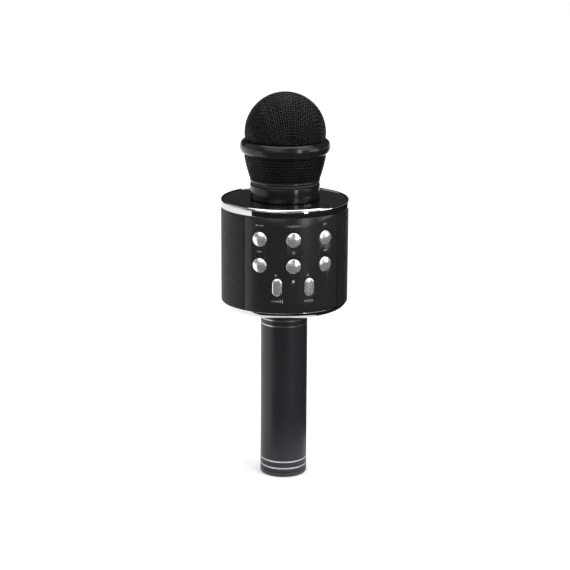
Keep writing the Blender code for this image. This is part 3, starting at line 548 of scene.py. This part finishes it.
BUTTONS = ("button_record", "button_play", "button_mode", "button_previous", "button_power", "button_next")
KEYS = ("volume_key", "echo_key")
lamp_height = node_height("led_light_pipe")
panel = bmesh.new()
half_width = PANEL_HALF_ANGLE * drum_radius
closed_line(panel, ((-half_width, wall_low), (half_width, wall_low), (half_width, wall_high),
                    (-half_width, wall_high)))
for name in BUTTONS:
    round_hole(panel, node_angle(name) * drum_radius, node_height(name), BUTTON_HOLE)
for name in KEYS:
    closed_line(panel, stadium_points(*KEY_SLOT), node_angle(name) * drum_radius, node_height(name))
round_hole(panel, 0.0, lamp_height, LAMP_HOLE, segments=20)
round_hole(panel, 0.0, lamp_height - PINHOLE_BELOW_LAMP, PINHOLE, segments=12)
bmesh.ops.triangle_fill(panel, use_beauty=True, edges=panel.edges[:], normal=(0, 0, 1))
for edge in [edge for edge in panel.edges if edge.is_wire]:
    panel.edges.remove(edge)
bmesh.ops.recalc_face_normals(panel, faces=panel.faces)
if panel.faces[:][0].normal.z < 0:
    bmesh.ops.reverse_faces(panel, faces=panel.faces)
raised = bmesh.ops.extrude_face_region(panel, geom=panel.faces[:], use_keep_orig=True)["geom"]
front = [item for item in raised if isinstance(item, bmesh.types.BMFace)]
edge_rise = sum(rise for inset, rise in PANEL_EDGE)
shift(panel, raised, 0, 0, PANEL_THICKNESS - edge_rise)
for inset, rise in PANEL_EDGE:
    bmesh.ops.inset_region(panel, faces=front, thickness=inset * MM, depth=rise * MM, use_even_offset=True)
shift(panel, panel.verts, 0, 0, -PANEL_THICKNESS)
for column in range(int(-half_width / PANEL_COLUMN), int(half_width / PANEL_COLUMN) + 1):
    bmesh.ops.bisect_plane(panel, geom=panel.verts[:] + panel.edges[:] + panel.faces[:],
                           plane_co=(column * PANEL_COLUMN * MM, 0, 0), plane_no=(1, 0, 0))
rolled(panel, drum_radius * MM)
made("panel_moulding", panel, [panel_finish], "body", "satin_panel", "control_panel")

# Printed marks ---------------------------------------------------------------
# Pale grey symbols, pad printed on the panel above each button and below each key.
# They are plain signs for what a control does, drawn about their own middles.
ink = finish("pale_ink", (0.2, 0.2, 0.21), (0.45, 0.6), grain=3000.0, depth=0.004)
INK_HEIGHT = 0.03


def printed(data, points, x, y):
    """One closed patch of ink over (x, y) points."""
    face = data.faces.new([data.verts.new(((x + px) * MM, (y + py) * MM, 0.0)) for px, py in points])
    raised = bmesh.ops.extrude_face_region(data, geom=[face], use_keep_orig=True)["geom"]
    shift(data, raised, 0, 0, INK_HEIGHT)


def bar(width, height, x=0.0, y=0.0):
    return [(x - width / 2, y - height / 2), (x + width / 2, y - height / 2),
            (x + width / 2, y + height / 2), (x - width / 2, y + height / 2)]


def dot(radius, x, count=14):
    return [(x + radius * math.cos(math.tau * k / count), radius * math.sin(math.tau * k / count))
            for k in range(count)]


def triangle(size, x, way=1):
    return [(x - way * size / 2, -size / 2), (x + way * size / 2, 0.0), (x - way * size / 2, size / 2)]


def band(inner, outer, start, end, x=0.0, y=0.0, count=8):
    """Part of a ring, between two angles in degrees."""
    angles = [math.radians(start + (end - start) * k / count) for k in range(count + 1)]
    near = [(x + inner * math.cos(a), y + inner * math.sin(a)) for a in angles]
    far = [(x + outer * math.cos(a), y + outer * math.sin(a)) for a in angles]
    return near + far[::-1]


MARKS = {
    "button_record": [dot(0.55, -2.0), bar(3.2, 0.35, 0.9)],
    "button_play": [bar(0.5, 0.5 + 0.35 * (3 - abs(k)), 1.5 * k) for k in range(-3, 4)],
    "button_mode": [band(0.5, 0.8, 30, 330, -1.0), triangle(0.9, 0.7)],
    "button_previous": [bar(0.3, 1.1, -1.4), triangle(1.1, -0.6, -1), triangle(1.1, 0.6, -1)],
    "button_power": [band(0.55, 0.85, 125, 415, y=-0.1, count=14), bar(0.3, 0.9, y=0.5)],
    "button_next": [triangle(1.1, -0.6), triangle(1.1, 0.6), bar(0.3, 1.1, 1.4)],
    "volume_key": [bar(0.6, 0.4 + 0.35 * k, -3.2 + 1.3 * k) for k in range(6)],
    "echo_key": [dot(0.45, -2.6)] + [band(0.75, 1.1, -60, 60, x) for x in (-2.2, -1.0, 0.2, 1.4)],
}
MARK_ABOVE = 8.5
MARK_BELOW = 8.8
PLUS_ABOVE = 7.4
PLUS_ASIDE = -0.9
INK_LIFT = 0.002
marks = bmesh.new()
for name in BUTTONS:
    for points in MARKS[name]:
        printed(marks, points, node_angle(name) * drum_radius, node_height(name) + MARK_ABOVE)
for name in KEYS:
    for points in MARKS[name]:
        printed(marks, points, node_angle(name) * drum_radius, node_height(name) - MARK_BELOW)
    for points in (bar(1.5, 0.35), bar(0.35, 1.5)):
        printed(marks, points, node_angle(name) * drum_radius + PLUS_ASIDE, node_height(name) + PLUS_ABOVE)
bmesh.ops.triangulate(marks, faces=marks.faces, ngon_method="EAR_CLIP")
bmesh.ops.recalc_face_normals(marks, faces=marks.faces)
shift(marks, marks.verts, 0, 0, INK_LIFT)
rolled(marks, drum_radius * MM)
made("printed_marks", marks, [ink], "body", "satin_panel")

# Buttons ---------------------------------------------------------------------
# Six domed caps, moulded and plated in satin silver. Each has a flange behind the
# panel and a stem that reaches its snap switch, and moves straight in.
cap_plating = finish("silver_cap_plating", (0.84, 0.84, 0.86), (0.2, 0.25), metallic=0.86, grain=2500.0,
                     depth=0.0006, patches=120.0)
CAP_RADIUS = 4.5
CAP_CREST = 1.3
CAP_RIM = 0.35
FLANGE_RADIUS = 5.6
FLANGE_TOP = -2.7
FLANGE_BOTTOM = -3.3
STEM_RADIUS = 1.6
STEM_END = -3.8
DOME_POINTS = 7
DOME_FOOT = 0.96
cap_outline = [(0.0, STEM_END), (STEM_RADIUS, STEM_END, 0.2), (STEM_RADIUS, FLANGE_BOTTOM),
               (FLANGE_RADIUS, FLANGE_BOTTOM, 0.1), (FLANGE_RADIUS, FLANGE_TOP, 0.1),
               (CAP_RADIUS, FLANGE_TOP), (CAP_RADIUS, CAP_RIM, 0.45)]
for step in range(1, DOME_POINTS):
    share = 1.0 - step / DOME_POINTS
    cap_outline.append((CAP_RADIUS * share * DOME_FOOT, CAP_RIM + (CAP_CREST - CAP_RIM) * (1.0 - share ** 2)))
cap_outline.append((0.0, CAP_CREST))


def control(name, data, node):
    """Stand a control that was made lying flat upright at its node, with Z out of the panel."""
    angle = node_angle(node)
    place = Vector((drum_radius * math.sin(angle), -drum_radius * math.cos(angle), node_height(node))) * MM
    upright = Matrix.Rotation(angle, 4, "Z") @ Matrix.Rotation(math.pi / 2, 4, "X")
    bmesh.ops.transform(data, matrix=Matrix.Translation(place) @ upright, verts=data.verts)
    made(name, data, [cap_plating], node, "plated_key", node)


for node in BUTTONS:
    control(node.replace("button_", "") + "_cap", turned(cap_outline, steps=48), node)

# Rocker keys -----------------------------------------------------------------
# Two upright plated keys with round ends and slightly crowned faces.
# Each rocks on a fulcrum behind the panel and presses one of two switches.
KEY_SIZE = (6.0, 11.0)
KEY_LIP = 0.7
KEY_RIB_INSET = 2.2
KEY_LEVELS = (-4.1, -3.5, -2.8, 0.45)
KEY_CROWN = ((0.12, 0.22), (0.25, 0.2), (0.4, 0.16), (0.7, 0.12), (0.8, 0.05))


def grown(data, face, rise):
    """Extrude one face along Z and return the new one. The old one stays only if it was alone."""
    joined = any(len(edge.link_faces) > 1 for edge in face.edges)
    raised = bmesh.ops.extrude_face_region(data, geom=[face])["geom"]
    shift(data, raised, 0, 0, rise)
    if joined:
        bmesh.ops.delete(data, geom=[face], context="FACES_ONLY")
    return [item for item in raised if isinstance(item, bmesh.types.BMFace)][0]


def rocker_key():
    """Rib, flange and head of a key, by extruding and insetting one round-ended face."""
    data = bmesh.new()
    rib, under, over, shoulder = KEY_LEVELS
    flange = stadium_points(KEY_SIZE[0] + 2 * KEY_LIP, KEY_SIZE[1] + 2 * KEY_LIP)
    face = data.faces.new([data.verts.new((x * MM, y * MM, under * MM)) for x, y in flange])
    front = grown(data, face, over - under)
    bottom = min(data.faces, key=lambda item: item.calc_center_median().z)
    for start, inset, rise in ((bottom, KEY_RIB_INSET, rib - under), (front, KEY_LIP, shoulder - over)):
        bmesh.ops.inset_region(data, faces=[start], thickness=inset * MM, use_even_offset=True)
        head = grown(data, start, rise)
    for inset, rise in KEY_CROWN:
        bmesh.ops.inset_region(data, faces=[head], thickness=inset * MM, depth=0.0, use_even_offset=True)
        shift(data, head.verts, 0, 0, rise)
    return data


for node in KEYS:
    control(node.replace("_key", "") + "_rocker", rocker_key(), node)

# Lamp, key board and switches ------------------------------------------------
# A clear light pipe fills the upper small hole. Behind the panel a thin bent board
# carries one snap switch for each button and two for each key.
lamp = finish("clear_light_pipe", (0.2, 0.22, 0.25), (0.1, 0.2),
              sockets={"Emission Strength": 0.04, "Emission Color": (0.55, 0.7, 1.0, 1.0)})
switch_plastic = finish("switch_housing", (0.05, 0.05, 0.052), (0.4, 0.55))
paint(lamp, "led_light_pipe")
SWITCHES = [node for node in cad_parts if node.startswith("switch_")]
paint(switch_plastic, *SWITCHES)

# Top plate -------------------------------------------------------------------
# A flat lid moulded in high-gloss black, with a skirt that the drum wall closes
# round and a hole in the middle for the neck.
gloss = finish("high_gloss_black", (0.006, 0.006, 0.0065), (0.03, 0.09), grain=200.0, depth=0.0008,
               patches=25.0, sockets={"Coat Weight": 1.0, "Coat Roughness": 0.02})
LID_BORE = 18.2
LID_THICKNESS = 2.6
SKIRT_WALL = 1.4
lid_skirt, lid_top, lid_radius = extent("top_plate")
skirt_radius = drum_radius - PANEL_THICKNESS - GAP
skirt_bore = skirt_radius - SKIRT_WALL
lid_under = lid_top - LID_THICKNESS
lid = [(LID_BORE, lid_under), (skirt_bore, lid_under), (skirt_bore, lid_skirt), (skirt_radius, lid_skirt),
       (skirt_radius, wall_high + GAP), (lid_radius, wall_high + GAP), (lid_radius, lid_top, 0.35),
       (LID_BORE, lid_top, 0.2)]
made("gloss_lid", turned(lid, steps=192), [gloss], "body", "gloss_black", "top_plate")

# Upper trim ring -------------------------------------------------------------
# A plated hoop round the lid. It is upright where it meets the wall and rolls in
# over the edge of the lid.
TRIM_ROUNDING = 1.4
trim_low, trim_high, trim_radius = extent("top_trim_ring")
upper_ring = [(lid_radius + GAP, trim_low), (trim_radius, trim_low, 0.15),
              (trim_radius, trim_high, TRIM_ROUNDING), (lid_radius + GAP, trim_high, 0.12)]
made("upper_trim_ring", turned(upper_ring, steps=192), [plating], "body", "chrome_trim", "top_trim_ring")

# Neck collar -----------------------------------------------------------------
# Gloss black collar on the lid, which takes the grille head's thread. A spigot
# under it is locked into the lid.
neck_black = finish("polished_black_moulding", (0.008, 0.008, 0.0085), (0.16, 0.26), grain=300.0,
                    depth=0.001, sockets={"Specular IOR Level": 0.3})
SPIGOT_RADIUS = 17.9
SPIGOT_BORE = 13.0
COLLAR_BORE = 17.5
CAPSULE_SHOULDER = 181.2
collar_bottom, collar_top, collar_radius = extent("neck_collar")
collar = [(SPIGOT_BORE, collar_bottom), (SPIGOT_RADIUS, collar_bottom), (SPIGOT_RADIUS, lid_top + GAP),
          (collar_radius, lid_top + GAP, 0.25), (collar_radius, collar_top, 0.5),
          (COLLAR_BORE, collar_top, 0.3), (COLLAR_BORE, CAPSULE_SHOULDER), (SPIGOT_BORE, CAPSULE_SHOULDER)]
made("collar", turned(collar, steps=128), [neck_black], "body", "gloss_black", "neck_collar")

# Capsule ---------------------------------------------------------------------
# The pick-up capsule, an aluminium can, sits in a soft rubber cup on the shoulder
# inside the collar, with its lead down through the neck.
soft_rubber = finish("soft_rubber", (0.02, 0.02, 0.02), (0.6, 0.75), grain=1500.0, depth=0.02)
capsule_can = finish("capsule_can", (0.7, 0.7, 0.71), (0.2, 0.32), metallic=1.0)
paint(soft_rubber, "capsule_holder")
paint(capsule_can, "mic_capsule")

# Seal and thread ring --------------------------------------------------------
# A rubber washer lies on the collar. The grille head ends in a black ring with a
# spigot that screws down through the washer into the collar.
seal_low, seal_high, seal_radius = extent("neck_seal_ring")
washer = [(COLLAR_BORE, seal_low, 0.2), (seal_radius, seal_low, 0.3), (seal_radius, seal_high, 0.3),
          (COLLAR_BORE, seal_high, 0.2)]
made("rubber_washer", turned(washer, steps=128), [soft_rubber], "seal_ring", "seal_rubber", "neck_seal_ring")
FOOT_BORE = 15.6
FOOT_FLANGE = 1.4
THREAD_ROOT = 16.6
THREAD_CREST = 17.2
THREAD_PITCH = 1.5
THREAD_TURNS = 4
THREAD_START = 0.3
THREAD_FLANK = 0.5
THREAD_LAND = 0.2
foot_low, foot_high = extent("thread_ring")[:2]
foot = [(FOOT_BORE, foot_low, 0.2)]
for turn in range(THREAD_TURNS):
    start = foot_low + THREAD_START + THREAD_PITCH * turn
    end = start + 2 * THREAD_FLANK + THREAD_LAND
    foot += [(THREAD_ROOT, start), (THREAD_CREST, start + THREAD_FLANK), (THREAD_CREST, end - THREAD_FLANK),
             (THREAD_ROOT, end)]
flange_low = foot_high - FOOT_FLANGE
foot += [(THREAD_CREST, flange_low), (collar_radius, flange_low, 0.25), (collar_radius, foot_high, 0.25),
         (FOOT_BORE, foot_high)]
foot_plastic = finish("head_foot_plastic", (0.014, 0.014, 0.015), (0.2, 0.32),
                      rubbed=((0.05, 0.05, 0.05), 0.4))
made("head_foot", turned(foot, steps=128), [foot_plastic], "grille_head", "black_plastic", "thread_ring")

# Foam liner ------------------------------------------------------------------
# Open-cell black foam, moulded as a cup that lines both grilles and keeps breath
# and rain off the capsule. It is pushed in and held by its own spring.
BALL_CENTRE = 220.0
FOAM_WALL = 2.0
FOAM_FOOT_RADIUS = 20.6
FOAM_SHOULDER = 207.0
foam_finish = finish("open_cell_foam", (0.004, 0.004, 0.0042), (0.9, 1.0), grain=1800.0, depth=0.25,
                     sockets={"Specular IOR Level": 0.1})


def quarter(radius, count=16):
    """From level with the ball's centre up to the top."""
    angles = [math.pi / 2 * k / count for k in range(count)]
    side = [(radius * math.cos(a), BALL_CENTRE + radius * math.sin(a)) for a in angles]
    return side + [(0.0, BALL_CENTRE + radius)]


foam_low, foam_top = extent("foam_liner")[:2]
foam_radius = foam_top - BALL_CENTRE
foam_inner = foam_radius - FOAM_WALL
outside = [(FOAM_FOOT_RADIUS, foam_low), (foam_radius, FOAM_SHOULDER)] + quarter(foam_radius)
inside = [(FOAM_FOOT_RADIUS - FOAM_WALL, foam_low), (foam_inner, FOAM_SHOULDER)] + quarter(foam_inner)
foam = made("foam_cup", turned(outside[::-1] + inside, steps=96), [foam_finish], "grille_head", "black_foam",
            "foam_liner")

# Lower grille ----------------------------------------------------------------
# Woven steel wire, rolled into a cone and painted black: uprights crossed by
# hoops, over and under in turn. It is held between the foot and the waist ring.
WIRE = 0.24
wire_paint = finish("black_painted_wire", (0.006, 0.006, 0.0064), (0.32, 0.44), grain=1500.0, depth=0.01,
                    patches=120.0, sockets={"Specular IOR Level": 0.32})


def woven(name, lines, body, slot, node):
    """Round wires along lists of points, each closed or capped at its ends."""
    curve = bpy.data.curves.new(name, "CURVE")
    curve.dimensions = "3D"
    curve.bevel_depth = WIRE * MM
    curve.bevel_resolution = 1
    curve.use_fill_caps = True
    for points, closed in lines:
        line = curve.splines.new("POLY")
        line.points.add(len(points) - 1)
        line.use_cyclic_u = closed
        line.use_smooth = True
        for target, point in zip(line.points, points):
            target.co = (*(Vector(point) * MM), 1.0)
    source = placed(name + "_lines", curve)
    bpy.context.view_layer.update()
    mesh = bpy.data.meshes.new_from_object(source.evaluated_get(bpy.context.evaluated_depsgraph_get()))
    bpy.data.objects.remove(source)
    data = bmesh.new()
    data.from_mesh(mesh)
    made(name, data, [wire_paint], body, slot, node)


CONE_FOOT_STEP = 0.1
CONE_EASE = 1.45
HOOPS = 9
UPRIGHTS = 104
cone_low, cone_high, cone_top_radius = extent("lower_grille")
cone_foot_radius = collar_radius + CONE_FOOT_STEP


def cone_radius(height):
    """The grille's outside: a slope that eases off towards the waist."""
    share = (height - cone_low) / (cone_high - cone_low)
    return cone_foot_radius + (cone_top_radius - cone_foot_radius) * (1.0 - (1.0 - share) ** CONE_EASE)


def cone_lines():
    lines = []
    spacing = (cone_high - cone_low - 2 * WIRE) / (HOOPS - 1)
    for upright in range(UPRIGHTS):
        angle = math.tau * upright / UPRIGHTS
        points = []
        for half_step in range(2 * HOOPS - 1):
            height = cone_low + WIRE + spacing * half_step / 2
            side = math.cos(math.pi * (half_step / 2 + upright))
            reach = cone_radius(height) - 2 * WIRE + WIRE * side
            points.append((reach * math.sin(angle), -reach * math.cos(angle), height))
        lines.append((points, False))
    for hoop in range(HOOPS):
        height = cone_low + WIRE + spacing * hoop
        points = []
        for half_step in range(2 * UPRIGHTS):
            angle = math.tau * half_step / (2 * UPRIGHTS)
            side = -math.cos(math.pi * (half_step / 2 + hoop))
            reach = cone_radius(height) - 2 * WIRE + WIRE * side
            points.append((reach * math.sin(angle), -reach * math.cos(angle), height))
        lines.append((points, True))
    return lines


woven("lower_wire_grille", cone_lines(), "grille_head", "grille_wire", "lower_grille")

# Waist ring ------------------------------------------------------------------
# A gloss black band, rounded outside, that clamps the edges of both meshes.
WAIST_BORE = 24.3
BULGE = 2.3
waist_low, waist_high, waist_radius = extent("waist_ring")
waist_middle = (waist_low + waist_high) / 2
waist = [(WAIST_BORE, waist_low)]
for tilt in range(-90, 91, 15):
    angle = math.radians(tilt)
    waist.append((waist_radius - BULGE + BULGE * math.cos(angle),
                  waist_middle + (waist_high - waist_middle) * math.sin(angle)))
waist.append((WAIST_BORE, waist_high))
made("waist_band", turned(waist, steps=160), [neck_black], "grille_head", "gloss_black", "waist_ring")

# Ball grille -----------------------------------------------------------------
# The same wire, woven square and pressed over a ball, so the weave is square at
# the crown and drawn out into tall cells at the waist.
PITCH = 1.75
ball_low, ball_top = extent("upper_grille")[:2]
ball_radius = ball_top - BALL_CENTRE


def ball_lines():
    """Each wire of a flat square weave, bent down over the ball by distance from its crown."""
    middle = ball_radius - 2 * WIRE
    reach = middle * (math.pi / 2 + math.asin((BALL_CENTRE - ball_low) / ball_radius))
    count = int(reach / PITCH)
    lines = []
    for family in (0, 1):
        for wire in range(-count, count + 1):
            offset = wire * PITCH
            half = math.sqrt(reach * reach - offset * offset)
            steps = max(2, int(half / PITCH * 2))
            points = []
            for step in range(-steps, steps + 1):
                along = step * PITCH / 2
                flat = Vector((along, offset)) if family else Vector((offset, along))
                if flat.length > reach:
                    continue
                side = math.cos(math.pi * (along / PITCH + wire)) * (1 if family else -1)
                out = middle + WIRE * side
                polar = flat.length / middle
                heading = flat.normalized()
                points.append((out * math.sin(polar) * heading.x, out * math.sin(polar) * heading.y,
                               BALL_CENTRE + out * math.cos(polar)))
            if len(points) > 2:
                lines.append((points, False))
    return lines


woven("ball_wire_grille", ball_lines(), "grille_head", "grille_wire", "upper_grille")

# Floor, light and camera -----------------------------------------------------
# A plain pale floor, soft lights all round with a broad one overhead, and a pale
# surround that only the camera sees.
FLOOR_RADIUS = 14.0
FLOOR_DROP = 0.0002


def staged(name, data, shade, roughness, specular, height):
    """A plain matt surface in the studio, at a height in metres."""
    mesh = bpy.data.meshes.new(name)
    data.to_mesh(mesh)
    data.free()
    material = bpy.data.materials.new(name)
    material.use_nodes = True
    shader = material.node_tree.nodes["Principled BSDF"]
    shader.inputs["Base Color"].default_value = (shade, shade, shade, 1.0)
    shader.inputs["Roughness"].default_value = roughness
    shader.inputs["Specular IOR Level"].default_value = specular
    mesh.materials.append(material)
    surface = placed(name, mesh)
    surface.location.z = height
    return surface


floor_data = bmesh.new()
bmesh.ops.create_circle(floor_data, cap_ends=True, segments=96, radius=FLOOR_RADIUS)
staged("floor", floor_data, 0.92, 0.9, 0.5, -FLOOR_DROP)

CAMERA_AZIMUTH = math.radians(-8.0)
CAMERA_ELEVATION = math.radians(14.4)
CAMERA_DISTANCE = 1.0706
CAMERA_LENS = 107.4
CAMERA_ROLL = math.radians(0.35)
AIM = Vector((0.0004, 0.0, 0.12297))


def direction(azimuth, elevation):
    """Unit vector from the object towards a point; azimuth 0 is in front, at -Y."""
    return Vector((math.sin(azimuth) * math.cos(elevation), -math.cos(azimuth) * math.cos(elevation),
                   math.sin(elevation)))


camera = placed("camera", bpy.data.cameras.new("camera"))
toward = direction(CAMERA_AZIMUTH, CAMERA_ELEVATION)
camera.location = AIM + toward * CAMERA_DISTANCE
camera.rotation_mode = "QUATERNION"
roll = Matrix.Rotation(CAMERA_ROLL, 3, "Z").to_quaternion()
camera.rotation_quaternion = (-toward).to_track_quat("-Z", "Y") @ roll
camera.data.lens = CAMERA_LENS
camera.data.clip_start = 0.05
bpy.context.scene.camera = camera
LIGHT_AIM = Vector((0.0, 0.0, 0.13))


def soft_light(name, azimuth, elevation, distance, size, power):
    """An area light. Its angles are in degrees, and azimuth 0 is at the camera."""
    data = bpy.data.lights.new(name, "AREA")
    data.shape = "RECTANGLE"
    data.size = size[0]
    data.size_y = size[1]
    data.energy = power
    light = placed(name, data)
    way = direction(CAMERA_AZIMUTH + math.radians(azimuth), math.radians(elevation))
    light.location = LIGHT_AIM + way * distance
    light.rotation_mode = "QUATERNION"
    light.rotation_quaternion = (-way).to_track_quat("-Z", "Y")


soft_light("tall_soft_light", -102, 22, 1.6, (1.5, 1.5), 3.8)
soft_light("narrow_soft_light", 37, 10, 1.5, (0.16, 1.0), 6.0)
soft_light("right_soft_light", 62, 36, 1.5, (1.1, 1.0), 8.0)
soft_light("low_soft_light", 78, 7, 1.5, (0.7, 0.35), 3.0)
soft_light("key_soft_light", -34, 36, 1.4, (1.0, 1.0), 4.8)
soft_light("front_soft_light", -14, 20, 1.5, (0.9, 0.45), 1.8)
soft_light("overhead_soft_light", 150, 66, 1.5, (0.9, 0.5), 3.6)
top_light = bpy.data.lights.new("broad_top_light", "SUN")
top_light.energy = 3.4
top_light.angle = math.radians(70)
placed("broad_top_light", top_light)
world = bpy.data.worlds.new("studio")
world.use_nodes = True
world.node_tree.nodes["Background"].inputs["Color"].default_value = (0.95, 0.97, 1.0, 1.0)
seen = world.node_tree.nodes.new("ShaderNodeLightPath")
strength = world.node_tree.nodes.new("ShaderNodeMapRange")
strength.inputs["To Min"].default_value = 0.04
strength.inputs["To Max"].default_value = 1.0
world.node_tree.links.new(seen.outputs["Is Camera Ray"], strength.inputs["Value"])
world.node_tree.links.new(strength.outputs["Result"], world.node_tree.nodes["Background"].inputs["Strength"])
bpy.context.scene.world = world
bpy.context.scene.view_settings.view_transform = "Standard"

# A black card in front of the object, out of the camera's sight, so that the front
# of the plating goes dark as it does in a studio. It spans these angles and reaches.
CARD_START, CARD_END, CARD_STEP = -60, 150, 5
CARD_NEAR, CARD_FAR = 0.07, 4.0
CARD_HEIGHT = 0.0006
card_data = bmesh.new()
rims = []
for step in range(CARD_START, CARD_END + 1, CARD_STEP):
    way = direction(CAMERA_AZIMUTH + math.radians(step), 0.0)
    rims.append([card_data.verts.new(way * reach) for reach in (CARD_NEAR, CARD_FAR)])
for first, second in zip(rims, rims[1:]):
    card_data.faces.new((first[0], first[1], second[1], second[0]))
card = staged("black_card", card_data, 0.01, 1.0, 0.0, CARD_HEIGHT)
card.visible_camera = False
card.visible_diffuse = False
card.visible_shadow = False
